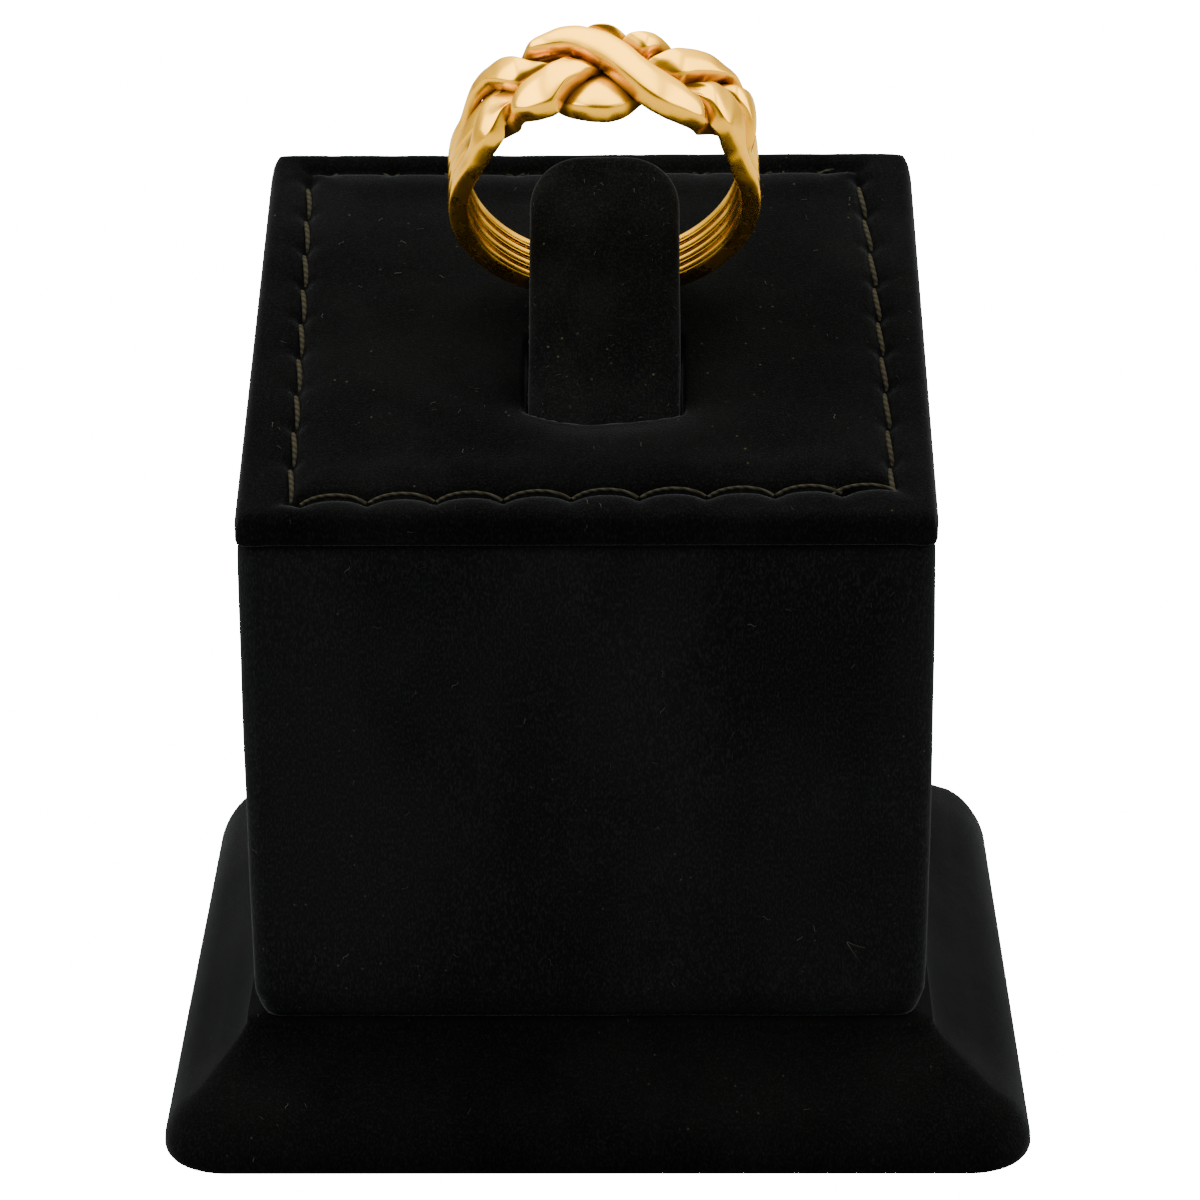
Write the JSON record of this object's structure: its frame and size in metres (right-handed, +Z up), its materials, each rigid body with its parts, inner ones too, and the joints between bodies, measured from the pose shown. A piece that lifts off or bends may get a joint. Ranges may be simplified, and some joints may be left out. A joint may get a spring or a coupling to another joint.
{
  "type": "braided band ring on a display stand",
  "caption": "Braided puzzle ring of narrow gold bands that weave into a knot, held upright over the tongue of a padded velvet display stand.",
  "frame": {"origin": "middle of the plinth's underside", "axes": "+Z up, the stand's front towards -Y, its low side of the padded top too; +X to the right seen from the front"},
  "size_m": [0.0582, 0.0524, 0.073],
  "materials": {
    "velvet": "short black velvet pile",
    "gold": "polished yellow gold"
  },
  "bodies": {
    "root": {"plinth": "velvet", "block": "velvet", "top_pad": "velvet", "tongue": "velvet", "band_1": "gold", "band_2": "gold", "band_3": "gold", "band_4": "gold"}
  },
  "joints": []
}
